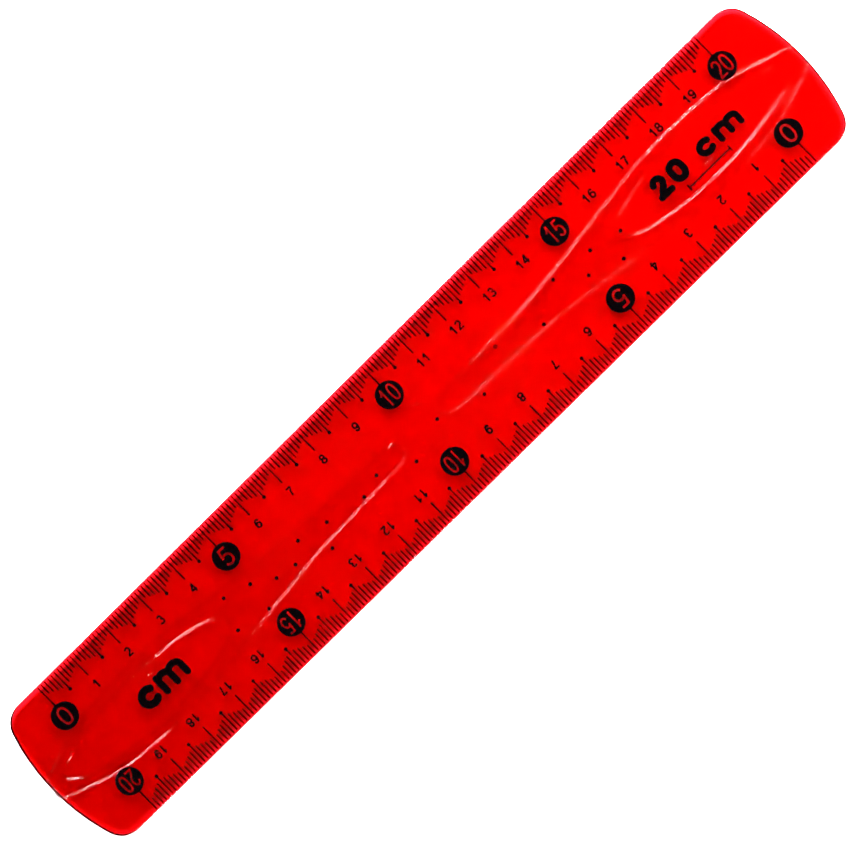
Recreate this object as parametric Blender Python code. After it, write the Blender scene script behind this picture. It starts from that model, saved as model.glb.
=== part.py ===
"""A flexible 20 cm ruler: one soft PVC moulding with two centimetre scales printed on its top face.

The ruler lies on its back. +X runs along the length, +Y across the width and +Z out of the printed
face. The origin is under the 10 cm marks, on the plane that the back rests on. The upper scale, near
the +Y edge, reads from -X to +X. The lower scale is the same print turned by 180 degrees.
"""

import math

import bmesh
import bpy
from mathutils import Matrix, Vector

MM = 0.001

# The moulding
LENGTH = 227.4 * MM
WIDTH = 38 * MM
SLAB = 2.2 * MM  # thickness outside the raised bands
RELIEF = 0.4 * MM  # how far the raised bands stand proud of the slab
END_RADIUS = 50 * MM  # the ends bow outwards
CORNER_RADIUS = 5.5 * MM
EDGE_ROUND = 0.4 * MM  # rounding all round the slab's top and bottom rims
BAND_CHAMFER = 0.12 * MM
WITNESS_RADIUS = 5.4 * MM  # shallow disc that the mould leaves in the middle
WITNESS_HEIGHT = 0.1 * MM
GATE = (0.6 * MM, 1.5 * MM, 1.2 * MM)  # the stub where the plastic entered the mould
GATE_PROUD = 0.3 * MM
GATE_Y = -1.5 * MM

# A raised teardrop band, and the lens-shaped panel inside it, which stays at the slab's height. Both are
# symmetric about X. Each station is a distance from the ruler's middle and the half-width there, in
# millimetres, and smooth curves run between. The band on the -X half is the mirror image.
BAND_TIP = 6.15 * MM
BAND_STATIONS = [
    (8.4, 2.4), (20, 2.8), (34, 3.3), (48, 4.8), (61, 6.5), (72, 7.9),
    (82, 8.3), (91, 8.0), (99, 7.1), (106, 5.1), (113.2, 2.5),
]
PANEL_STATIONS = [
    (59.5, 0.2), (62, 2.5), (66, 3.9), (73, 5.1), (82, 5.65),
    (91, 5.4), (99, 4.4), (105.5, 2.9), (109.5, 0.2),
]
STEPS_PER_SPAN = 3
TIP_STEPS = 6

# The print
INK = 0.15 * MM
INK_GAP = 0.03 * MM  # clearance between the ink's solids and the moulding
SCALE_LENGTH = 200  # millimetres
SEGMENT = 50  # millimetres of scale in each row of graduation marks
MARK_WIDTH = 0.3 * MM
SPINE = 0.12 * MM  # hairline that joins a row of marks at their outer ends
MARK_ROOT = 18.5 * MM  # the marks' outer ends, from the ruler's centre line
CENTIMETRE_END = 12.75 * MM  # the marks' inner ends
ROUNDEL_MARK_END = 13.3 * MM
HALF_END = 13.4 * MM
MILLIMETRE_ENDS = [16.0 * MM, 15.5 * MM, 15.0 * MM, 14.6 * MM]  # by distance from the nearest centimetre
DOT_RADIUS = 0.42 * MM
DOT_SIDES = 8
NUMERAL_Y = 10.25 * MM
NUMERAL_HEIGHT = 2.2 * MM
NUMERAL_PAIR_SHIFT = 0.45 * MM  # numbers with two digits sit a little past their mark
BRIDGE_WIDTH = 0.1 * MM  # of the hairline that joins a number's two digits
BRIDGE_INSET = 0.1 * MM  # from the sides of a digit 1 to the ends of the hairline
BRIDGE_STOP = 0.45 * MM  # the same, from the right side of any other digit
ROUNDEL_Y = 10.05 * MM
ROUNDEL_RADIUS = 3.12 * MM
ROUNDEL_SIDES = 32
ROUNDEL_NUMERAL_HEIGHT = 4.0 * MM
ZERO_WIDTH = 2.5 * MM  # of a zero in a round patch
TIE_WIDTH = 0.25 * MM  # narrow bridge that holds the ink inside a zero
MARKED_NUMBERS = range(21)
ROUNDEL_NUMBERS = (0, 5, 10, 15, 20)

# The lettering in the two panels, as (node name, text, centre x, centre y, height)
LETTERING = [
    ("panel_right_digit_2", "2", 73 * MM, 0.9 * MM, 5.2 * MM),
    ("panel_right_digit_0", "0", 77.7 * MM, 0.9 * MM, 5.2 * MM),
    ("panel_right_letter_c", "c", 85.4 * MM, 0.2 * MM, 3.8 * MM),
    ("panel_right_letter_m", "m", 92.2 * MM, 0.2 * MM, 3.8 * MM),
    ("panel_left_letter_c", "c", -84.5 * MM, 0, 4.6 * MM),
    ("panel_left_letter_m", "m", -76.6 * MM, 0, 4.6 * MM),
]
LETTER_WEIGHT = 0.22 * MM  # thickens the strokes on each side

# The dimension line under the lettering
DIMENSION_AT = (83 * MM, -3.6 * MM)
DIMENSION_LENGTH = 12 * MM
DIMENSION_STROKE = 0.35 * MM
DIMENSION_END = 1.6 * MM  # length of the short stroke across each end

FONT_CURVE_STEPS = 2
CUTTER_OVERSHOOT = 1 * MM
WELD = 1e-6


def clear_scene():
    for obj in list(bpy.data.objects):
        bpy.data.objects.remove(obj)


def new_collection(name):
    collection = bpy.data.collections.new(name)
    bpy.context.scene.collection.children.link(collection)
    return collection


def plain_material(name, colour, roughness):
    material = bpy.data.materials.new(name)
    material.use_nodes = True
    shader = material.node_tree.nodes["Principled BSDF"]
    shader.inputs["Base Color"].default_value = (*colour, 1)
    shader.inputs["Roughness"].default_value = roughness
    shader.inputs["Metallic"].default_value = 0
    return material


def arc(centre_x, centre_y, radius, start, end, steps):
    """Points along an arc, from angle start to angle end in degrees."""
    points = []
    for i in range(steps + 1):
        angle = math.radians(start + (end - start) * i / steps)
        points.append((centre_x + radius * math.cos(angle), centre_y + radius * math.sin(angle)))
    return points


def slab_outline():
    """The ruler from above: straight long edges, round corners and ends that bow outwards."""
    bow_x = LENGTH / 2 - END_RADIUS
    corner_y = WIDTH / 2 - CORNER_RADIUS
    reach = END_RADIUS - CORNER_RADIUS
    corner_x = bow_x + math.sqrt(reach**2 - corner_y**2)
    turn = math.degrees(math.asin(corner_y / reach))
    right = arc(corner_x, -corner_y, CORNER_RADIUS, -90, -turn, 6)
    right += arc(bow_x, 0, END_RADIUS, -turn, turn, 10)[1:-1]
    right += arc(corner_x, corner_y, CORNER_RADIUS, turn, 90, 6)
    return right + [(-x, -y) for x, y in right]


def smooth_through(stations, steps):
    """Catmull-Rom points through the stations, with straight run-outs at both ends."""
    known = [Vector(station) * MM for station in stations]
    known = [known[0] * 2 - known[1]] + known + [known[-1] * 2 - known[-2]]
    points = []
    for before, here, there, after in zip(known, known[1:], known[2:], known[3:]):
        for i in range(steps):
            t = i / steps
            points.append(
                0.5
                * (
                    2 * here
                    + (there - before) * t
                    + (2 * before - 5 * here + 4 * there - after) * t**2
                    + (3 * here - before - 3 * there + after) * t**3
                )
            )
    return [tuple(point) for point in points] + [tuple(known[-2])]


def closed_from_half(half):
    """A closed outline from its +Y half, which runs along +X: the half, then its mirror image back."""
    return half + [(x, -y) for x, y in reversed(half)]


def band_outline():
    """The teardrop on the +X half, from its round tip near the ruler's middle to the ruler's end."""
    half = smooth_through(BAND_STATIONS, STEPS_PER_SPAN)
    start_x, start_y = half[0]
    rounded = []
    for x, y in arc(0, 0, 1, 180, 90, TIP_STEPS):
        rounded.append((start_x + x * (start_x - BAND_TIP), y * start_y))
    return rounded[:1] + closed_from_half(rounded[1:-1] + half)


def panel_outline():
    """The lens-shaped panel inside the teardrop on the +X half."""
    return closed_from_half(smooth_through(PANEL_STATIONS, STEPS_PER_SPAN))


def comb_outline(first, last):
    """A row of graduation marks, in millimetres of scale, joined by a hairline at their outer ends."""
    points = [
        (scale_x(last) + MARK_WIDTH / 2, MARK_ROOT),
        (scale_x(first) - MARK_WIDTH / 2, MARK_ROOT),
    ]
    for millimetre in range(first, last + 1):
        x = scale_x(millimetre)
        end = mark_end(millimetre)
        left = x - MARK_WIDTH / 2
        right = x + MARK_WIDTH / 2
        if millimetre > first:
            points.append((left, MARK_ROOT - SPINE))
        if millimetre % 10 == 5:
            points += dotted_end(x, end)
        else:
            points += [(left, end), (right, end)]
        if millimetre < last:
            points.append((right, MARK_ROOT - SPINE))
    return points


def dotted_end(x, y):
    """The dot on the end of a half-centimetre mark, from the mark's left side round to its right."""
    opening = math.degrees(math.asin(MARK_WIDTH / 2 / DOT_RADIUS))
    return arc(x, y, DOT_RADIUS, 90 + opening, 450 - opening, DOT_SIDES)


def scale_x(millimetre):
    return (millimetre - SCALE_LENGTH / 2) * MM


def mark_end(millimetre):
    """How far in a graduation mark reaches, as the Y of its inner end."""
    past = millimetre % 10
    if past == 0:
        return ROUNDEL_MARK_END if millimetre // 10 in ROUNDEL_NUMBERS else CENTIMETRE_END
    if past == 5:
        return HALF_END
    return MILLIMETRE_ENDS[min(past, 10 - past) - 1]


def weld_and_finish(mesh):
    """Closes a converted curve's loose caps and makes its faces point out."""
    work = bmesh.new()
    work.from_mesh(mesh)
    bmesh.ops.remove_doubles(work, verts=work.verts, dist=WELD)
    bmesh.ops.recalc_face_normals(work, faces=work.faces)
    work.to_mesh(mesh)
    work.free()


def mesh_from(source, name):
    """A mesh object from a curve or text object, in its place. The source is removed."""
    bpy.context.view_layer.update()
    evaluated = source.evaluated_get(bpy.context.evaluated_depsgraph_get())
    mesh = bpy.data.meshes.new_from_object(evaluated)
    mesh.name = name
    weld_and_finish(mesh)
    place = source.matrix_world.copy()
    bpy.data.objects.remove(source)
    piece = bpy.data.objects.new(name, mesh)
    piece.matrix_world = place
    return piece


def plate(name, outlines, low, high, rounding=0, rounding_steps=0):
    """A flat plate between two heights. Outlines after the first are holes. Its rims can be rounded."""
    curve = bpy.data.curves.new(name, "CURVE")
    curve.dimensions = "2D"
    curve.fill_mode = "BOTH"
    curve.extrude = (high - low) / 2 - rounding
    curve.bevel_depth = rounding
    curve.bevel_resolution = rounding_steps
    curve.offset = -rounding
    for outline in outlines:
        spline = curve.splines.new("POLY")
        spline.points.add(len(outline) - 1)
        for point, (x, y) in zip(spline.points, outline):
            point.co = (x, y, 0, 1)
        spline.use_cyclic_u = True
    source = bpy.data.objects.new(name, curve)
    source.location.z = (low + high) / 2
    bpy.context.scene.collection.objects.link(source)
    return mesh_from(source, name)


def lettering(name, text, height, weight, low, high):
    """Text of a given height, as a solid whose outline is centred on its own origin in X and Y."""
    curve = bpy.data.curves.new(name, "FONT")
    curve.body = text
    curve.fill_mode = "BOTH"
    curve.resolution_u = FONT_CURVE_STEPS
    curve.extrude = (high - low) / 2
    source = bpy.data.objects.new(name, curve)
    bpy.context.scene.collection.objects.link(source)
    bpy.context.view_layer.update()
    curve.size = (height - 2 * weight) / source.dimensions.y
    curve.offset = weight
    solid = mesh_from(source, name)
    corners = [vertex.co for vertex in solid.data.vertices]
    middle_x = (min(c.x for c in corners) + max(c.x for c in corners)) / 2
    middle_y = (min(c.y for c in corners) + max(c.y for c in corners)) / 2
    solid.data.transform(Matrix.Translation((-middle_x, -middle_y, (low + high) / 2)))
    return solid


def box(name, size, centre):
    mesh = bpy.data.meshes.new(name)
    work = bmesh.new()
    bmesh.ops.create_cube(work, size=1)
    work.to_mesh(mesh)
    work.free()
    mesh.transform(Matrix.Translation(centre) @ Matrix.Diagonal((*size, 1)))
    return bpy.data.objects.new(name, mesh)


def disc(name, radius, sides, low, high):
    mesh = bpy.data.meshes.new(name)
    work = bmesh.new()
    bmesh.ops.create_cone(
        work, cap_ends=True, segments=sides, radius1=radius, radius2=radius, depth=high - low
    )
    work.to_mesh(mesh)
    work.free()
    mesh.transform(Matrix.Translation((0, 0, (low + high) / 2)))
    return bpy.data.objects.new(name, mesh)


class Ruler:
    """The collections and materials that the pieces go into, and the moves that every piece needs."""

    def __init__(self):
        self.pieces = new_collection("flexible_ruler")
        self.cutters = new_collection("shaping_guides")
        self.pvc = plain_material("soft_red_pvc", (0.75, 0.004, 0.006), 0.12)
        self.ink_bottom = SLAB + INK_GAP
        self.ink_top = self.ink_bottom + INK

    def show(self, piece, material):
        self.pieces.objects.link(piece)
        piece.data.materials.clear()
        piece.data.materials.append(material)
        return piece

    def shape_with(self, piece, tool, operation, solver="EXACT"):
        """Joins the tool to the piece, or cuts it away."""
        if tool.name not in self.cutters.objects:
            self.cutters.objects.link(tool)
        tool.hide_render = True
        tool.display_type = "WIRE"
        modifier = piece.modifiers.new(f"{operation.lower()}_{tool.name}", "BOOLEAN")
        modifier.operation = operation
        modifier.object = tool
        modifier.solver = solver

    def ink(self, name):
        return plain_material(f"ink_{name}", (0.008, 0.008, 0.01), 0.35)


def add_body(ruler):
    """The moulding: a rounded slab joined to two raised bands, the witness disc and the gate stub."""
    body = plate("ruler_body", [slab_outline()], 0, SLAB, EDGE_ROUND, 1)
    ruler.show(body, ruler.pvc)
    for side, sign in (("right", 1), ("left", -1)):
        outlines = []
        for outline in (band_outline(), panel_outline()):
            outlines.append([(sign * x, y) for x, y in outline])
        band = plate(f"band_{side}", outlines, SLAB / 2, SLAB + RELIEF, BAND_CHAMFER, 0)
        ruler.shape_with(body, band, "UNION")
    witness = disc("witness_disc", WITNESS_RADIUS, ROUNDEL_SIDES, SLAB / 2, SLAB + WITNESS_HEIGHT)
    ruler.shape_with(body, witness, "UNION")
    gate_x = -LENGTH / 2 - GATE_PROUD + GATE[0] / 2
    gate = box("gate_stub", GATE, (gate_x, GATE_Y, SLAB / 2))
    ruler.shape_with(body, gate, "UNION")


def add_scale(ruler, side, turn):
    """One complete scale. Its pieces hang on an empty at the origin, which turns the lower scale."""
    frame = bpy.data.objects.new(f"{side}_scale", None)
    frame.rotation_euler.z = turn
    ruler.pieces.objects.link(frame)
    add_graduations(ruler, side, frame)
    add_roundels(ruler, side, frame)
    add_numerals(ruler, side, frame)


def add_graduations(ruler, side, frame):
    for start in range(0, SCALE_LENGTH, SEGMENT):
        end = start + SEGMENT
        last = end if end == SCALE_LENGTH else end - 1
        name = f"{side}_marks_{start // 10:02d}_to_{end // 10:02d}"
        comb = plate(name, [comb_outline(start, last)], ruler.ink_bottom, ruler.ink_top)
        comb.parent = frame
        ruler.show(comb, ruler.ink(name))


def add_roundels(ruler, side, frame):
    """The round patches, with the number left open. A narrow tie crosses each open zero."""
    low = ruler.ink_bottom - CUTTER_OVERSHOOT
    high = ruler.ink_top + CUTTER_OVERSHOOT
    for number in ROUNDEL_NUMBERS:
        name = f"{side}_roundel_{number:02d}"
        patch = disc(name, ROUNDEL_RADIUS, ROUNDEL_SIDES, ruler.ink_bottom, ruler.ink_top)
        patch.location = (scale_x(10 * number), ROUNDEL_Y, 0)
        patch.parent = frame
        ruler.show(patch, ruler.ink(name))
        opening = lettering(f"{name}_opening", str(number), ROUNDEL_NUMERAL_HEIGHT, 0, low, high)
        opening.parent = patch
        ruler.shape_with(patch, opening, "DIFFERENCE")
        if number % 10 == 0:
            size = (TIE_WIDTH, 2 * ROUNDEL_NUMERAL_HEIGHT, 2 * (high - low))
            centre = (right_edge(opening) - ZERO_WIDTH / 2, 0, ruler.ink_top)
            tie = box(f"{name}_tie", size, centre)
            tie.parent = patch
            ruler.shape_with(opening, tie, "DIFFERENCE")


def right_edge(piece):
    return max(vertex.co.x for vertex in piece.data.vertices)


def add_numerals(ruler, side, frame):
    """The small numerals. A hairline bridge makes one piece of a number's two digits."""
    for number in MARKED_NUMBERS:
        if number in ROUNDEL_NUMBERS:
            continue
        name = f"{side}_numeral_{number:02d}"
        numeral = lettering(name, str(number), NUMERAL_HEIGHT, 0, ruler.ink_bottom, ruler.ink_top)
        shift = NUMERAL_PAIR_SHIFT if number > 9 else 0
        numeral.location = (scale_x(10 * number) + shift, NUMERAL_Y, 0)
        numeral.parent = frame
        ruler.show(numeral, ruler.ink(name))
        if number > 9:
            reach = right_edge(numeral)
            left = -reach + BRIDGE_INSET
            right = reach - (BRIDGE_INSET if number == 11 else BRIDGE_STOP)
            size = (right - left, BRIDGE_WIDTH, INK / 2)
            centre = ((left + right) / 2, 0, (ruler.ink_bottom + ruler.ink_top) / 2)
            bridge = box(f"{name}_bridge", size, centre)
            bridge.parent = numeral
            ruler.shape_with(numeral, bridge, "UNION", "MANIFOLD")


def add_panel_lettering(ruler):
    for name, text, x, y, height in LETTERING:
        letter = lettering(name, text, height, LETTER_WEIGHT, ruler.ink_bottom, ruler.ink_top)
        letter.location.x = x
        letter.location.y = y
        ruler.show(letter, ruler.ink(name))


def add_dimension_line(ruler):
    """A drafter's dimension line, with a short stroke across each end."""
    inner = DIMENSION_LENGTH / 2
    outer = inner + DIMENSION_STROKE
    side = DIMENSION_STROKE / 2
    tall = DIMENSION_END / 2
    right_end = [(outer, -tall), (outer, tall), (inner, tall), (inner, side)]
    left_end = [(-inner, side), (-inner, tall), (-outer, tall), (-outer, -tall)]
    outline = right_end + left_end + [(-inner, -tall), (-inner, -side), (inner, -side), (inner, -tall)]
    mark = plate("panel_right_dimension_line", [outline], ruler.ink_bottom, ruler.ink_top)
    mark.location.x, mark.location.y = DIMENSION_AT
    ruler.show(mark, ruler.ink("panel_right_dimension_line"))


def main():
    clear_scene()
    ruler = Ruler()
    add_body(ruler)
    add_scale(ruler, "upper", 0)
    add_scale(ruler, "lower", math.pi)
    add_panel_lettering(ruler)
    add_dimension_line(ruler)


main()
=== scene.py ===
"""Looks of a flexible 20 cm ruler: a see-through soft PVC moulding with two printed centimetre scales.

Lengths are in millimetres until a mesh is made. +X runs along the ruler, +Y towards the upper scale and
+Z out of the printed face. The lower scale is the upper one turned by 180 degrees.
"""

import math

import bmesh
import bpy
import numpy as np
from mathutils import Matrix, Vector
from mathutils.geometry import delaunay_2d_cdt


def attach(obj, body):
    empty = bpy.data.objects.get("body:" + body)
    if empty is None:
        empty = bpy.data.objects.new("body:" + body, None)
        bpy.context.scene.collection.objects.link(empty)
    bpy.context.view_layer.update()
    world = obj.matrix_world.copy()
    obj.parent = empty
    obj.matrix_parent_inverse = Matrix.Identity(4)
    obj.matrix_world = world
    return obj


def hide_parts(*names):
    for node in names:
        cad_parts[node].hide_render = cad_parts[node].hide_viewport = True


MM = 0.001

# The moulding. Its outline and heights are the CAD model's, and its rims and walls are softer.
LENGTH = 227.4
WIDTH = 38
SLAB = 2.2
RELIEF = 0.4
END_RADIUS = 50
CORNER_RADIUS = 5.5
TOP_ROUND = 0.35
BOTTOM_ROUND = 0.9
ROUND_STEPS = 6
CORNER_STEPS = 14
END_STEPS = 40
GATE_Y = -1.5  # the small stub on the left end
GATE_WIDTH = 1.5
GATE_PROUD = 0.3
BAND_TIP = 6.15
BAND_TIP_STEPS = 10
BAND_END = 113.0
BAND_END_DRAFT = 0.25  # share of an offset that a band's end wall takes
BAND_STATIONS = [
    (8.4, 2.4), (20, 2.8), (34, 3.3), (48, 4.8), (61, 6.5), (72, 7.9),
    (82, 8.3), (91, 8.0), (99, 7.1), (106, 5.1), (BAND_END, 2.6),
]
PANEL_STATIONS = [
    (59.5, 0.2), (62, 2.5), (66, 3.9), (73, 5.1), (82, 5.65),
    (91, 5.4), (99, 4.4), (105.5, 2.9), (109.5, 0.2),
]
STEPS_PER_SPAN = 16
MITRE_LIMIT = 0.5
WALL = 0.66  # width of the soft slope between the slab and a raised band
WALL_STEPS = 8
MARGIN = 0.13  # flat strip on both sides of a slope, and inside the rims
SINK = 0.08  # how far the top of a band sinks away from its rims
SINK_REACH = 1.2
SINK_ROWS = 4
SINK_CLEARANCE = 0.9  # share of its inset that a point keeps from every rim
SINK_WELD = 1e-6
WITNESS_RADIUS = 5.3
WITNESS_HEIGHT = 0.07
WITNESS_WALL = 0.25
WITNESS_STEPS = 72
EJECTORS = [(84.3, 0.6), (-81.3, 0.6)]  # a round mark in each panel
EJECTOR_RADIUS = 3.1
EJECTOR_DEPTH = 0.06
EJECTOR_WALL = 0.2
EJECTOR_STEPS = 60

# The print
INK_GAP = 0.012  # keeps the ink just clear of the moulding
INK = 0.03
INK_WELD = 1e-5
SCALE_LENGTH = 200
MARK_WIDTH = 0.35  # a little more than in the CAD model
MARK_ROOT = 18.5
CENTIMETRE_END = 12.75
ROUNDEL_MARK_END = 13.1
HALF_END = 13.4
MILLIMETRE_ENDS = [16.0, 15.5, 15.0, 14.6]
DOT_RADIUS = 0.42
DOT_STEPS = 16
DIGIT_WIDTH = 0.6  # of a digit that is one unit high
ZERO_STEPS = 36
ZERO_POWER = 0.86  # below 1, the zero is squarer than an ellipse
STROKE_MITRE_LIMIT = 0.45
STROKE_END_STEPS = 20
NUMERAL_Y = 10.25
NUMERAL_PAIR_SHIFT = 0.45  # numbers with two digits sit a little past their mark
NUMERAL = {"height": 2.25, "width": 1.48, "stroke": 0.41, "advance": 1.71}
ROUNDEL_Y = 10.05
ROUNDEL_RADIUS = 3.15
ROUNDEL_STEPS = 72
ROUNDEL_NUMBERS = (0, 5, 10, 15, 20)
ROUNDEL_SINGLE = {"height": 4.4, "width": 2.8, "stroke": 0.55, "advance": 2.8}
ROUNDEL_PAIR = {"height": 4.2, "width": 1.95, "stroke": 0.46, "advance": 2.2}
LETTERS = [  # sign, lower left corner, width, height, stroke
    ("2", 70.9, -1.8, 4.1, 5.4, 1.5),
    ("0", 75.6, -1.8, 4.3, 5.4, 1.5),
    ("c", 83.3, -1.8, 4.1, 4.0, 1.45),
    ("m", 88.5, -1.8, 7.0, 4.0, 1.4),
    ("c", -86.4, -2.6, 4.9, 5.2, 1.75),
    ("m", -80.7, -2.6, 7.8, 5.2, 1.6),
]
DIMENSION_ENDS = (77, 89)  # the plain line under the right panel's letters
DIMENSION_Y = -3.6
DIMENSION_STROKE = 0.35
DIMENSION_END_LOW = -4.4
DIMENSION_END_HIGH = -2.8
SPRAY_RADIUS = 0.45
SPRAY_STEPS = 14
SPRAY = [
    (-59.5, -3.2), (-56.8, 3.9), (-50.5, 2.1), (-51.3, -4.6), (-45.4, -1.0), (-40.4, -1.8), (-36.4, 1.5),
    (-32.2, -4.9), (-29.0, 0.0), (-19.4, -1.8), (-14.2, -0.35), (-5.9, -4.3), (3.7, -0.9), (14.7, -4.2),
    (23.6, 1.4), (34.4, -2.5), (42.5, 2.9), (48.6, -1.8), (52.5, 1.8), (56.4, -4.5), (60.1, 0.25),
]
SPRAY_OPEN = (23.6, 1.4)  # the one spot with a hole
SPRAY_HOLE_RADIUS = SPRAY_RADIUS / 3
SPRAY_HOLE_STEPS = 10

# The plastic. Seen from the side it glows red; its upright walls fake that glow with painted light (a
# darker, less clear deep red and red-tinted glints), so they differ from its flat faces.
PVC_IOR = 1.53
PVC_COLOUR = (0.9, 0.02, 0.15, 1)
PVC_DENSITY = 2300
PVC_ROUGHNESS = (0.03, 0.09)
PVC_SMUDGES = {"Scale": 60, "Detail": 4}
PVC_SMUDGE_RANGE = (0.35, 0.7)
PVC_WAVES = {"Scale": 90, "Detail": 1}
PVC_BUMP = {"Strength": 0.15, "Distance": 0.00005}
WALL_BELOW = 0.3  # upward part of the normal
FACE_ABOVE = 0.6
WALL_PAINTED_GLOW = [  # socket, its value on the walls with the painted glow, its value on the faces
    ("Base Color", (0.15, 0.0003, 0.0015, 1), (0.97, 0.45, 0.55, 1)),
    ("Transmission Weight", (0.85, 0.85, 0.85, 1), (1, 1, 1, 1)),
    ("Specular Tint", (0.8, 0.02, 0.03, 1), (1, 1, 1, 1)),
]

# The ink
INK_GRAIN = {"Scale": 1800, "Detail": 3}
INK_DARK = (0.35, (0.0001, 0.00005, 0.0001, 1))  # grain, colour
INK_LIGHT = (0.75, (0.0004, 0.0002, 0.0003, 1))
INK_ROUGHNESS = (0.12, 0.22)
INK_SPECULAR = 0.3

# The floor and the camera
FLOOR_GAP = 0.6
FLOOR_HALF = 2500
FLOOR_COLOUR = (0.9, 0.9, 0.9, 1)
FLOOR_ROUGHNESS = 0.8
VIEW_TURN = 44.6
VIEW_TILT = 4.4
VIEW_DISTANCE = 600
VIEW_LENS = 116.0
VIEW_SENSOR = 36
VIEW_CLIP = (10, 20000)
VIEW_CENTRE = (0.75, -1.5)

# The lights
KEY_LIGHT = {"place": (165, 330, 330), "target": (20, 0, 0), "size": (200, 140), "power": 16.6}
END_LIGHT = {"place": (400, -20, 300), "target": (60, 0, 0), "size": (300, 300), "power": 11}
BACKDROP_LIGHT = {"place": (0, 0, 900), "target": (0, 0, 0), "size": (1200, 1200), "power": 28}
STRIPS = [  # name, x, y, the x it faces, length, power
    ("strip_right", 200, 400, 80, 270, 5.0),
    ("strip_right_end", 22, 400, 40, 86, 0.75),
    ("strip_left", -325, -400, -90, 230, 4.2),
    ("strip_middle", -68, -400, -30, 38, 0.5),
    ("strip_middle_end", -17, -400, 0, 64, 0.3),
    ("strip_far", 190, -400, 90, 80, 0.3),
    ("strip_far_end", 285, -400, 90, 110, 1.0),
]
STRIP_HEIGHT = 330
STRIP_DEPTH = 70
SKY_STRENGTH = 0.25
SKY_FADE = (0.86, 0.95)  # upward part of the directions over which the sky goes dark


# ---------------------------------------------------------------- shapes


def arc(centre_x, centre_y, radius, start, end, steps, radius_y=None):
    """Points along an arc or an ellipse's arc, from angle start to angle end in degrees."""
    tall = radius if radius_y is None else radius_y
    points = []
    for i in range(steps + 1):
        angle = math.radians(start + (end - start) * i / steps)
        points.append((centre_x + radius * math.cos(angle), centre_y + tall * math.sin(angle)))
    return points


def circle(x, y, radius, steps, radius_y=None):
    """A closed circle or ellipse, anticlockwise."""
    return arc(x, y, radius, 0, 360, steps, radius_y)[:-1]


def rectangle(left, low, right, high):
    return [(left, low), (right, low), (right, high), (left, high)]


def turned(points):
    return [(-x, -y) for x, y in points]


def mirrored(points):
    """The mirror image in the Y axis, still anticlockwise."""
    return [(-x, y) for x, y in reversed(points)]


def slab_ring(inset):
    """The ruler's outline, anticlockwise, drawn in by an inset."""
    bow_x = LENGTH / 2 - END_RADIUS
    corner_y = WIDTH / 2 - CORNER_RADIUS
    reach = END_RADIUS - CORNER_RADIUS
    corner_x = bow_x + math.sqrt(reach**2 - corner_y**2)
    turn = math.degrees(math.asin(corner_y / reach))
    right = arc(corner_x, -corner_y, CORNER_RADIUS - inset, -90, -turn, CORNER_STEPS)
    right += arc(bow_x, 0, END_RADIUS - inset, -turn, turn, END_STEPS)[1:-1]
    right += arc(corner_x, corner_y, CORNER_RADIUS - inset, turn, 90, CORNER_STEPS)
    return right + turned(right)


def with_gate(ring):
    """The outline with the stub where the plastic entered the mould."""
    pushed = []
    for x, y in ring:
        at_gate = x < 0 and abs(y - GATE_Y) < GATE_WIDTH / 2
        pushed.append((x - GATE_PROUD, y) if at_gate else (x, y))
    return pushed


def smooth_through(stations, steps):
    """Catmull-Rom points through the stations, with straight run-outs at both ends."""
    known = [Vector(station) for station in stations]
    known = [known[0] * 2 - known[1]] + known + [known[-1] * 2 - known[-2]]
    points = []
    for before, here, there, after in zip(known, known[1:], known[2:], known[3:]):
        for i in range(steps):
            t = i / steps
            points.append(
                0.5
                * (
                    2 * here
                    + (there - before) * t
                    + (2 * before - 5 * here + 4 * there - after) * t**2
                    + (3 * here - before - 3 * there + after) * t**3
                )
            )
    return [tuple(point) for point in points] + [tuple(known[-2])]


def closed_from_half(half):
    """A closed anticlockwise outline from its +Y half, which runs along +X."""
    return [(x, -y) for x, y in half] + list(reversed(half))


def band_outline():
    half = smooth_through(BAND_STATIONS, STEPS_PER_SPAN)
    start_x, start_y = half[0]
    tip = arc(start_x, 0, start_x - BAND_TIP, 180, 90, BAND_TIP_STEPS, start_y)
    outline = closed_from_half(tip[1:-1] + half)
    return outline + tip[:1]


def panel_outline():
    return closed_from_half(smooth_through(PANEL_STATIONS, STEPS_PER_SPAN))


def offset(points, distance):
    """An anticlockwise outline moved outwards. A band's end wall is steeper than its sides."""
    moved = []
    for i, (x, y) in enumerate(points):
        before = Vector(points[i - 1])
        after = Vector(points[(i + 1) % len(points)])
        here = Vector((x, y))
        into = (here - before).normalized()
        out = (after - here).normalized()
        normal_in = Vector((into.y, -into.x))
        normal_out = Vector((out.y, -out.x))
        normal = (normal_in + normal_out).normalized()
        place = here + normal * distance / max(MITRE_LIMIT, normal.dot(normal_in))
        if abs(x) == BAND_END:
            place.x = x + math.copysign(distance * BAND_END_DRAFT, x)
        moved.append(tuple(place))
    return moved


def clearance(point, loop):
    """Distance from a point to a closed outline."""
    start = np.array(loop)
    along = np.roll(start, -1, axis=0) - start
    away = np.array(point) - start
    share = np.clip((away * along).sum(axis=1) / (along**2).sum(axis=1), 0, 1)
    return np.linalg.norm(away - along * share[:, None], axis=1).min()


def sink(distance):
    """How far a band's top is below its rims, at a distance from the nearest one."""
    return SINK * (1 - max(0, 1 - distance / SINK_REACH) ** 2)


def mesh_from(work, name):
    """A named mesh from a bmesh, which it frees."""
    mesh = bpy.data.meshes.new(name)
    work.to_mesh(mesh)
    work.free()
    return mesh


# ---------------------------------------------------------------- the moulding


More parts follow.
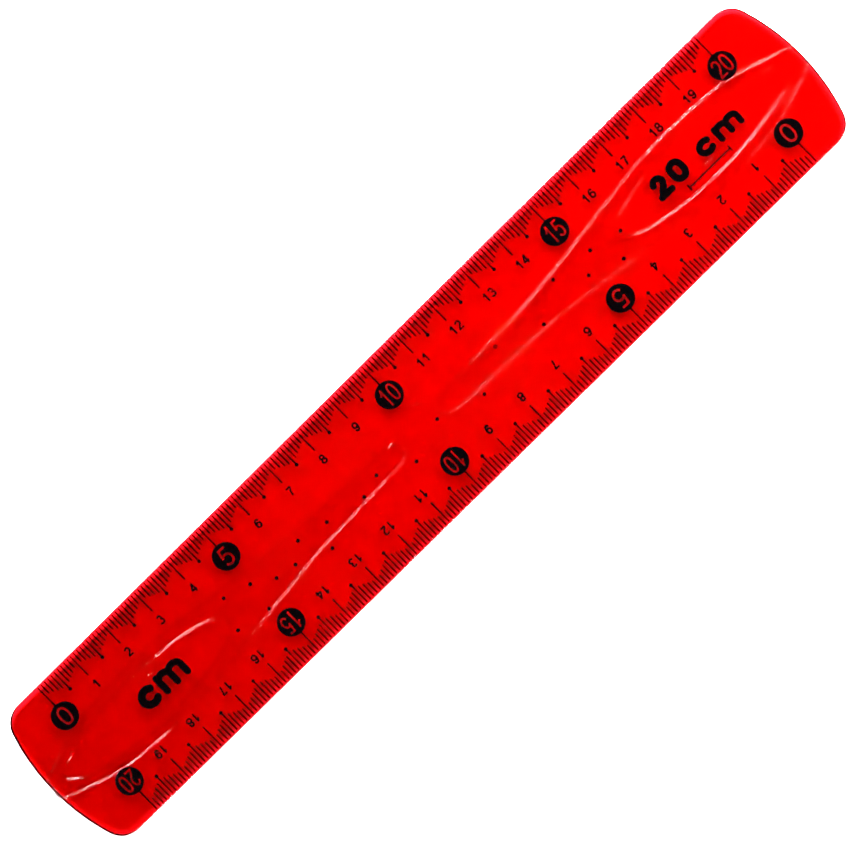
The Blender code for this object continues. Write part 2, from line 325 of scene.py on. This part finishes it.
class Moulding:
    """The see-through body as one closed mesh: flat faces joined by smooth walls."""

    def __init__(self):
        self.work = bmesh.new()

    def ring(self, points, height):
        return [self.work.verts.new((x * MM, y * MM, height * MM)) for x, y in points]

    def wall(self, lower, upper):
        """Quads between two rings of equal length."""
        count = len(lower)
        for i in range(count):
            j = (i + 1) % count
            self.work.faces.new((lower[i], lower[j], upper[j], upper[i]))

    def slope(self, outline, foot, top, inside_is_top, width):
        """A soft step along an outline. Returns its ring on the inner side and on the outer side."""
        stations = [(-width / 2 - MARGIN, 0)]
        for i in range(WALL_STEPS + 1):
            t = i / WALL_STEPS
            stations.append((width * (t - 0.5), 0.5 - 0.5 * math.cos(math.pi * t)))
        stations.append((width / 2 + MARGIN, 1))
        inner_height, outer_height = (top, foot) if inside_is_top else (foot, top)
        rings = []
        for distance, rise in stations:
            height = inner_height + (outer_height - inner_height) * rise
            rings.append(self.ring(offset(outline, distance), height))
        for inner, outer in zip(rings, rings[1:]):
            self.wall(outer, inner)
        return rings[0], rings[-1]

    def flat(self, *loops):
        """A flat face filling the first loop, less the others."""
        edges = []
        for loop in loops:
            for i, vert in enumerate(loop):
                after = loop[(i + 1) % len(loop)]
                edges.append(self.work.edges.get((vert, after)) or self.work.edges.new((vert, after)))
        bmesh.ops.triangle_fill(self.work, use_beauty=True, edges=edges)

    def dished(self, rim, hole, height):
        """A band's top between its rim and its hole's, which sinks a little away from both."""
        known = rim + hole
        loops = [[(vert.co.x / MM, vert.co.y / MM) for vert in loop] for loop in (rim, hole)]
        points = [Vector(point) for point in loops[0] + loops[1]]
        heights = []
        for row in range(1, SINK_ROWS + 1):
            inset = SINK_REACH * row / SINK_ROWS
            for point in offset(loops[0], -inset) + offset(loops[1], inset):
                if min(clearance(point, loop) for loop in loops) > SINK_CLEARANCE * inset:
                    points.append(Vector(point))
                    heights.append(height - sink(inset))
        count = len(rim)
        borders = [list(range(count)), list(range(count, len(known)))]
        places, _, triangles, origins, _, sources = delaunay_2d_cdt(points, [], borders, 0, SINK_WELD)
        verts = []
        for place, origin in zip(places, origins):
            if origin[0] < len(known):
                verts.append(known[origin[0]])
            else:
                verts.append(self.ring([place], heights[origin[0] - len(known)])[0])
        for triangle, source in zip(triangles, sources):
            if source == [0]:
                self.work.faces.new([verts[i] for i in triangle])

    def finish(self, name):
        bmesh.ops.recalc_face_normals(self.work, faces=self.work.faces)
        for face in self.work.faces:
            face.smooth = True
        return mesh_from(self.work, name)


def rim_profile():
    """The slab's side from bottom to top, as pairs of inset and height."""
    profile = [(BOTTOM_ROUND + MARGIN, 0)]
    turns = [math.pi / 2 * i / ROUND_STEPS for i in range(ROUND_STEPS + 1)]
    for angle in turns:
        profile.append((BOTTOM_ROUND * (1 - math.sin(angle)), BOTTOM_ROUND * (1 - math.cos(angle))))
    for angle in turns:
        profile.append((TOP_ROUND * (1 - math.cos(angle)), SLAB - TOP_ROUND * (1 - math.sin(angle))))
    profile.append((TOP_ROUND + MARGIN, SLAB))
    return profile


def slab_side(body):
    """Builds the bottom and the side, and returns the ring round the top."""
    rings = []
    for inset, height in rim_profile():
        outline = slab_ring(inset)
        rings.append(body.ring(with_gate(outline) if inset == 0 else outline, height))
    for lower, upper in zip(rings, rings[1:]):
        body.wall(lower, upper)
    body.flat(rings[0])
    return rings[-1]


def raised_band(body, place, pin):
    """Builds a band with its panel and ejector mark, and returns the ring at the band's foot."""
    band_inner, band_outer = body.slope(place(band_outline()), SLAB, SLAB + RELIEF, True, WALL)
    panel_inner, panel_outer = body.slope(place(panel_outline()), SLAB, SLAB + RELIEF, False, WALL)
    mark = circle(*pin, EJECTOR_RADIUS, EJECTOR_STEPS)
    mark_inner, mark_outer = body.slope(mark, SLAB - EJECTOR_DEPTH, SLAB, False, EJECTOR_WALL)
    body.dished(band_inner, panel_outer, SLAB + RELIEF)
    body.flat(panel_inner, mark_outer)
    body.flat(mark_inner)
    return band_outer


def witness_disc(body):
    """Builds the low round disc in the middle, and returns the ring at its foot."""
    disc = circle(0, 0, WITNESS_RADIUS, WITNESS_STEPS)
    inner, outer = body.slope(disc, SLAB, SLAB + WITNESS_HEIGHT, True, WITNESS_WALL)
    body.flat(inner)
    return outer


def moulding_mesh():
    body = Moulding()
    rim = slab_side(body)
    bands = [raised_band(body, place, pin) for place, pin in zip((list, mirrored), EJECTORS)]
    witness = witness_disc(body)
    body.flat(rim, witness, *bands)
    return body.finish("moulding")


# ---------------------------------------------------------------- the print


def stroke(points, width, closed=False, rounded=False):
    """Polygons that draw a line of even width along the points."""
    line = [Vector(point) for point in points]
    count = len(line)
    left = []
    right = []
    for i, here in enumerate(line):
        before = line[i - 1] if closed or i > 0 else None
        after = line[(i + 1) % count] if closed or i < count - 1 else None
        into = (here - before).normalized() if before is not None else (after - here).normalized()
        out = (after - here).normalized() if after is not None else into
        side = Vector((-into.y - out.y, into.x + out.x)).normalized()
        reach = width / 2 / max(STROKE_MITRE_LIMIT, side.dot(Vector((-into.y, into.x))))
        left.append(tuple(here + side * reach))
        right.append(tuple(here - side * reach))
    if closed:
        links = [(i, (i + 1) % count) for i in range(count)]
    else:
        links = [(i, i + 1) for i in range(count - 1)]
    polygons = [[left[i], right[i], right[j], left[j]] for i, j in links]
    if rounded:
        for end in (points[0], points[-1]):
            polygons.append(circle(*end, width / 2, STROKE_END_STEPS))
    return polygons


def glyph_lines(sign):
    """Centre lines of a sign in a box one unit high, as (points, closed) pairs."""
    if sign == "0":
        half = DIGIT_WIDTH / 2
        ring = []
        for i in range(ZERO_STEPS):
            angle = 2 * math.pi * i / ZERO_STEPS
            c, s = math.cos(angle), math.sin(angle)
            x = half + half * math.copysign(abs(c) ** ZERO_POWER, c)
            ring.append((x, 0.5 + 0.5 * math.copysign(abs(s) ** ZERO_POWER, s)))
        return [(ring, True)]
    if sign == "1":
        return [([(0.06, 0.71), (0.24, 0.82), (0.365, 1.0)], False), ([(0.37, 1.09), (0.37, -0.09)], False)]
    if sign == "2":
        bend = arc(0.29, 0.72, 0.285, 165, -20, 12, 0.28)
        return [(bend + [(0.42, 0.44), (0.16, 0.2), (0.03, 0.0)], False), ([(-0.07, 0), (0.66, 0)], False)]
    if sign == "3":
        top = arc(0.27, 0.76, 0.24, 155, -90, 12, 0.24)
        low = arc(0.28, 0.27, 0.30, 90, -158, 14, 0.27)
        return [(top, False), (low, False)]
    if sign == "4":
        return [
            ([(0.44, 1.0), (-0.02, 0.27)], False),
            ([(-0.06, 0.25), (0.68, 0.25)], False),
            ([(0.44, 1.09), (0.44, -0.09)], False),
        ]
    if sign == "5":
        bowl = arc(0.28, 0.31, 0.31, 140, -152, 14, 0.31)
        return [([(0.1, 0.985), (0.58, 0.985)], False), ([(0.14, 1.05), (0.05, 0.46)], False), (bowl, False)]
    if sign == "6":
        bowl = circle(0.31, 0.31, 0.29, 24, 0.31)
        return [(bowl, True), (arc(0.34, 0.42, 0.32, 185, 38, 12, 0.58), False)]
    if sign == "7":
        slant = [(0.58, 0.96), (0.36, 0.55), (0.22, -0.08)]
        return [([(-0.04, 0.985), (0.66, 0.985)], False), (slant, False)]
    if sign == "8":
        top = circle(0.3, 0.76, 0.24, 20)
        low = circle(0.3, 0.26, 0.3, 24, 0.26)
        return [(top, True), (low, True)]
    if sign == "9":
        six = glyph_lines("6")
        return [([(DIGIT_WIDTH - x, 1 - y) for x, y in line], closed) for line, closed in six]
    if sign == "c":
        return [(arc(0.5, 0.5, 0.5, 48, 312, 20), False)]
    arch_left = [(0, 0.62)] + arc(0.31, 0.69, 0.31, 180, 0, 10) + [(0.62, 0)]
    arch_right = [(0.62, 0.62)] + arc(0.93, 0.69, 0.31, 180, 0, 10) + [(1.24, 0)]
    return [([(0, 1), (0, 0)], False), (arch_left, False), (arch_right, False)]


def digits(number, style, x, y):
    """Polygons of a number centred at x, y."""
    text = str(number)
    thick = style["stroke"]
    across = (style["width"] - thick) / DIGIT_WIDTH
    up = style["height"] - thick
    polygons = []
    for i, sign in enumerate(text):
        left = x + (i - (len(text) - 1) / 2) * style["advance"] - (style["width"] - thick) / 2
        for line, closed in glyph_lines(sign):
            placed = [(left + px * across, y + (py - 0.5) * up) for px, py in line]
            polygons += stroke(placed, thick, closed)
    return polygons


def letter(sign, x, y, width, height, thick):
    """Polygons of a bold letter or digit with round ends, its lower left corner at x, y."""
    lines = glyph_lines(sign)
    span = max(px for line, _ in lines for px, _ in line)
    polygons = []
    for line, closed in lines:
        placed = []
        for px, py in line:
            across = x + thick / 2 + px / span * (width - thick)
            up = y + thick / 2 + py * (height - thick)
            placed.append((across, up))
        polygons += stroke(placed, thick, closed, rounded=not closed)
    return polygons


def signed_area(polygon):
    return sum(ax * by - bx * ay for (ax, ay), (bx, by) in zip(polygon, polygon[1:] + polygon[:1])) / 2


class Film:
    """A thin printed layer. Each patch is the union of some polygons, less some openings."""

    def __init__(self):
        self.work = bmesh.new()

    def patch(self, polygons, openings=(), surface=SLAB):
        points = []
        faces = []
        for polygon in list(polygons) + list(openings):
            ordered = polygon if signed_area(polygon) > 0 else polygon[::-1]
            faces.append(list(range(len(points), len(points) + len(ordered))))
            points += [Vector(point) for point in ordered]
        verts, _, triangles, _, _, sources = delaunay_2d_cdt(points, [], faces, 0, INK_WELD)
        kept = []
        for triangle, source in zip(triangles, sources):
            if source and max(source) < len(polygons):
                kept.append(triangle)
        self.solid(verts, kept, surface + INK_GAP)

    def solid(self, verts, triangles, low):
        """Thickens flat triangles, with sides only along their common outline."""
        lower = {}
        upper = {}
        for triangle in triangles:
            for i in triangle:
                if i not in lower:
                    x, y = verts[i]
                    lower[i] = self.work.verts.new((x * MM, y * MM, low * MM))
                    upper[i] = self.work.verts.new((x * MM, y * MM, (low + INK) * MM))
        sides = {}
        for triangle in triangles:
            self.work.faces.new([upper[i] for i in triangle])
            self.work.faces.new([lower[i] for i in reversed(triangle)])
            for a, b in zip(triangle, triangle[1:] + triangle[:1]):
                sides[(a, b)] = (b, a) not in sides
                if not sides[(a, b)]:
                    sides[(b, a)] = False
        for (a, b), outer in sides.items():
            if outer:
                self.work.faces.new((lower[a], lower[b], upper[b], upper[a]))

    def finish(self, name, turn=0):
        self.work.transform(Matrix.Rotation(turn, 4, "Z"))
        return mesh_from(self.work, name)


def scale_x(millimetre):
    return millimetre - SCALE_LENGTH / 2


def mark_end(millimetre):
    past = millimetre % 10
    if past == 0:
        return ROUNDEL_MARK_END if millimetre // 10 in ROUNDEL_NUMBERS else CENTIMETRE_END
    if past == 5:
        return HALF_END
    return MILLIMETRE_ENDS[min(past, 10 - past) - 1]


def graduations():
    film = Film()
    half = MARK_WIDTH / 2
    for millimetre in range(SCALE_LENGTH + 1):
        x = scale_x(millimetre)
        end = mark_end(millimetre)
        shapes = [rectangle(x - half, end, x + half, MARK_ROOT)]
        if millimetre % 10 == 5:
            shapes.append(circle(x, end, DOT_RADIUS, DOT_STEPS))
        film.patch(shapes)
    return film


def numerals():
    film = Film()
    for number in range(SCALE_LENGTH // 10 + 1):
        if number not in ROUNDEL_NUMBERS:
            shift = NUMERAL_PAIR_SHIFT if number > 9 else 0
            film.patch(digits(number, NUMERAL, scale_x(10 * number) + shift, NUMERAL_Y))
    return film


def roundels():
    film = Film()
    for number in ROUNDEL_NUMBERS:
        x = scale_x(10 * number)
        style = ROUNDEL_SINGLE if number < 10 else ROUNDEL_PAIR
        disc = circle(x, ROUNDEL_Y, ROUNDEL_RADIUS, ROUNDEL_STEPS)
        film.patch([disc], digits(number, style, x, ROUNDEL_Y))
    return film


def panel_lettering():
    film = Film()
    for entry in LETTERS:
        film.patch(letter(*entry))
    half = DIMENSION_STROKE / 2
    left, right = DIMENSION_ENDS
    line = [rectangle(left, DIMENSION_Y - half, right, DIMENSION_Y + half)]
    for x in DIMENSION_ENDS:
        line.append(rectangle(x - half, DIMENSION_END_LOW, x + half, DIMENSION_END_HIGH))
    film.patch(line)
    return film


def surface_at(x, y):
    """Height of the moulding's top face, away from its walls."""
    distance = abs(x)
    if math.hypot(x, y) < WITNESS_RADIUS:
        return SLAB + WITNESS_HEIGHT
    half = 0
    for (near, low), (far, high) in zip(BAND_STATIONS, BAND_STATIONS[1:]):
        if near <= distance <= far:
            half = low + (high - low) * (distance - near) / (far - near)
    inside = half - abs(y) - WALL / 2 - MARGIN
    return SLAB + RELIEF - sink(inside) if inside > 0 else SLAB


def spray():
    film = Film()
    for x, y in SPRAY:
        spot = circle(x, y, SPRAY_RADIUS, SPRAY_STEPS)
        holes = [circle(x, y, SPRAY_HOLE_RADIUS, SPRAY_HOLE_STEPS)] if (x, y) == SPRAY_OPEN else []
        film.patch([spot], holes, surface_at(x, y))
    return film


# ---------------------------------------------------------------- materials


def node(tree, kind, **values):
    """A new node. Each value goes to the socket of that name or, where there is none, to the setting."""
    item = tree.nodes.new(kind)
    for key, value in values.items():
        if key in item.inputs:
            item.inputs[key].default_value = value
        else:
            setattr(item, key, value)
    return item


def upward(tree, vector):
    """The Z part of a vector."""
    split = node(tree, "ShaderNodeSeparateXYZ")
    tree.links.new(vector, split.inputs["Vector"])
    return split.outputs["Z"]


def noise(tree, **values):
    """Noise that is fixed to the object."""
    place = node(tree, "ShaderNodeTexCoord")
    texture = node(tree, "ShaderNodeTexNoise", **values)
    tree.links.new(place.outputs["Object"], texture.inputs["Vector"])
    return texture.outputs["Fac"]


def remapped(tree, value, source, target, **values):
    """A value carried over from the source range to the target range."""
    remap = node(tree, "ShaderNodeMapRange", **values)
    for key, number in zip(("From Min", "From Max", "To Min", "To Max"), (*source, *target)):
        remap.inputs[key].default_value = number
    tree.links.new(value, remap.inputs["Value"])
    return remap.outputs["Result"]


def ramped(tree, value, *stops):
    """A value turned into a colour, between two stops of a position and a colour each."""
    ramp = node(tree, "ShaderNodeValToRGB")
    for element, (position, colour) in zip(ramp.color_ramp.elements, stops):
        element.position = position
        element.color = colour
    tree.links.new(value, ramp.inputs["Fac"])
    return ramp.outputs["Color"]


def new_material(name):
    """A material with its node tree and its shader."""
    material = bpy.data.materials.new(name)
    material.use_nodes = True
    return material, material.node_tree, material.node_tree.nodes["Principled BSDF"]


def pvc_material():
    material, tree, shader = new_material("soft_pvc_see_through")
    shader.inputs["IOR"].default_value = PVC_IOR
    surface = node(tree, "ShaderNodeNewGeometry")
    facing = node(tree, "ShaderNodeMath", operation="ABSOLUTE")
    tree.links.new(upward(tree, surface.outputs["Normal"]), facing.inputs[0])
    # Painted glow: the upright walls get a darker, less clear deep red and red-tinted glints in place of the
    # plastic's side glow.
    for socket, wall, face in WALL_PAINTED_GLOW:
        painted_glow = ramped(tree, facing.outputs["Value"], (WALL_BELOW, wall), (FACE_ABOVE, face))
        tree.links.new(painted_glow, shader.inputs[socket])
    rough = remapped(tree, noise(tree, **PVC_SMUDGES), PVC_SMUDGE_RANGE, PVC_ROUGHNESS)
    tree.links.new(rough, shader.inputs["Roughness"])
    bump = node(tree, "ShaderNodeBump", **PVC_BUMP)
    tree.links.new(noise(tree, **PVC_WAVES), bump.inputs["Height"])
    tree.links.new(bump.outputs["Normal"], shader.inputs["Normal"])
    absorb = node(tree, "ShaderNodeVolumeAbsorption", Color=PVC_COLOUR, Density=PVC_DENSITY)
    tree.links.new(absorb.outputs["Volume"], tree.nodes["Material Output"].inputs["Volume"])
    return material


def ink_material():
    material, tree, shader = new_material("black_print")
    grain = noise(tree, **INK_GRAIN)
    tree.links.new(ramped(tree, grain, INK_DARK, INK_LIGHT), shader.inputs["Base Color"])
    tree.links.new(remapped(tree, grain, (0, 1), INK_ROUGHNESS), shader.inputs["Roughness"])
    shader.inputs["Specular IOR Level"].default_value = INK_SPECULAR
    return material


def paper_material():
    material, _, shader = new_material("white_paper")
    shader.inputs["Base Color"].default_value = FLOOR_COLOUR
    shader.inputs["Roughness"].default_value = FLOOR_ROUGHNESS
    shader.inputs["Specular IOR Level"].default_value = 0
    return material


# ---------------------------------------------------------------- pieces


def add_piece(mesh, material, nodes):
    piece = bpy.data.objects.new(mesh.name, mesh)
    bpy.context.scene.collection.objects.link(piece)
    piece.data.materials.append(material)
    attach(piece, "root")
    if nodes:
        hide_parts(*nodes)


def add_print(nodes):
    """The pieces of ink, each in place of the CAD nodes that it draws."""
    ink = ink_material()
    for side, turn in (("upper", 0), ("lower", math.pi)):
        own = [name for name in nodes if name.startswith(side)]
        marks = [name for name in own if "marks" in name]
        rounds = [name for name in own if "roundel" in name]
        small = [name for name in own if "numeral" in name]
        add_piece(graduations().finish(f"{side}_graduations", turn), ink, marks)
        add_piece(roundels().finish(f"{side}_roundels", turn), ink, rounds)
        add_piece(numerals().finish(f"{side}_numerals", turn), ink, small)
    panels = [name for name in nodes if name.startswith("panel")]
    add_piece(panel_lettering().finish("panel_print"), ink, panels)
    add_piece(spray().finish("spray_dots"), ink, [])


# ---------------------------------------------------------------- stage


def add_floor():
    mesh = bpy.data.meshes.new("floor")
    half = FLOOR_HALF * MM
    low = -FLOOR_GAP * MM
    corners = [(x, y, low) for x, y in rectangle(-half, -half, half, half)]
    mesh.from_pydata(corners, [], [(0, 1, 2, 3)])
    mesh.materials.append(paper_material())
    floor = bpy.data.objects.new("floor", mesh)
    bpy.context.scene.collection.objects.link(floor)


def add_light(name, place, target, size, power, glints=False, shines_through=True):
    """A rectangular softbox that faces a target. It may show in reflections, and through the plastic."""
    light = bpy.data.lights.new(name, "AREA")
    light.shape = "RECTANGLE"
    light.size, light.size_y = size[0] * MM, size[1] * MM
    light.energy = power
    lamp = bpy.data.objects.new(name, light)
    lamp.location = Vector(place) * MM
    lamp.rotation_euler = (Vector(target) - Vector(place)).to_track_quat("-Z", "Y").to_euler()
    lamp.visible_glossy = glints
    lamp.visible_transmission = shines_through
    bpy.context.scene.collection.objects.link(lamp)


def add_lights():
    """Three softboxes light the ruler and the floor, and the strips make the long highlights."""
    add_light("key", **KEY_LIGHT)
    add_light("end", **END_LIGHT)
    add_light("backdrop", **BACKDROP_LIGHT, shines_through=False)
    for name, x, y, target_x, length, power in STRIPS:
        size = (length, STRIP_DEPTH)
        add_light(name, (x, y, STRIP_HEIGHT), (target_x, 0, 0), size, power, glints=True)


def add_sky():
    """An even, dim sky that is dark overhead."""
    world = bpy.data.worlds.new("studio")
    bpy.context.scene.world = world
    world.use_nodes = True
    tree = world.node_tree
    place = node(tree, "ShaderNodeTexCoord")
    height = upward(tree, place.outputs["Generated"])
    fade = remapped(tree, height, SKY_FADE, (SKY_STRENGTH, 0), interpolation_type="SMOOTHSTEP")
    tree.links.new(fade, tree.nodes["Background"].inputs["Strength"])


def add_camera():
    """Looks down at the ruler from nearly straight above, turned so that the ruler lies aslant."""
    camera = bpy.data.cameras.new("camera")
    camera.lens = VIEW_LENS
    camera.sensor_width = VIEW_SENSOR
    camera.clip_start, camera.clip_end = [distance * MM for distance in VIEW_CLIP]
    eye = bpy.data.objects.new("camera", camera)
    bpy.context.scene.collection.objects.link(eye)
    turn = Matrix.Rotation(math.radians(-VIEW_TURN), 4, "Z")
    tilt = Matrix.Rotation(math.radians(VIEW_TILT), 4, "Y")
    back = Matrix.Translation((0, 0, VIEW_DISTANCE * MM))
    aim = Matrix.Translation(Vector((*VIEW_CENTRE, 0)) * MM)
    eye.matrix_world = aim @ tilt @ back @ turn
    bpy.context.scene.camera = eye


# ---------------------------------------------------------------- scene

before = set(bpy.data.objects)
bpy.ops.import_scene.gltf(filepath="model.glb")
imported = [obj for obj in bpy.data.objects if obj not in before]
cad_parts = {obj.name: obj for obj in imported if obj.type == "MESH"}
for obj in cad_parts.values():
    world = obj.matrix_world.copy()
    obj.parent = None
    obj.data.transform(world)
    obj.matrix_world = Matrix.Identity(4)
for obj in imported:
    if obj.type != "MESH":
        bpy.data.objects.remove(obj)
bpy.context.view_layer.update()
cad_nodes = sorted(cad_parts)

add_piece(moulding_mesh(), pvc_material(), ["ruler_body"])
add_print(cad_nodes)
add_floor()
add_lights()
add_sky()
add_camera()
bpy.context.scene.view_settings.view_transform = "Standard"
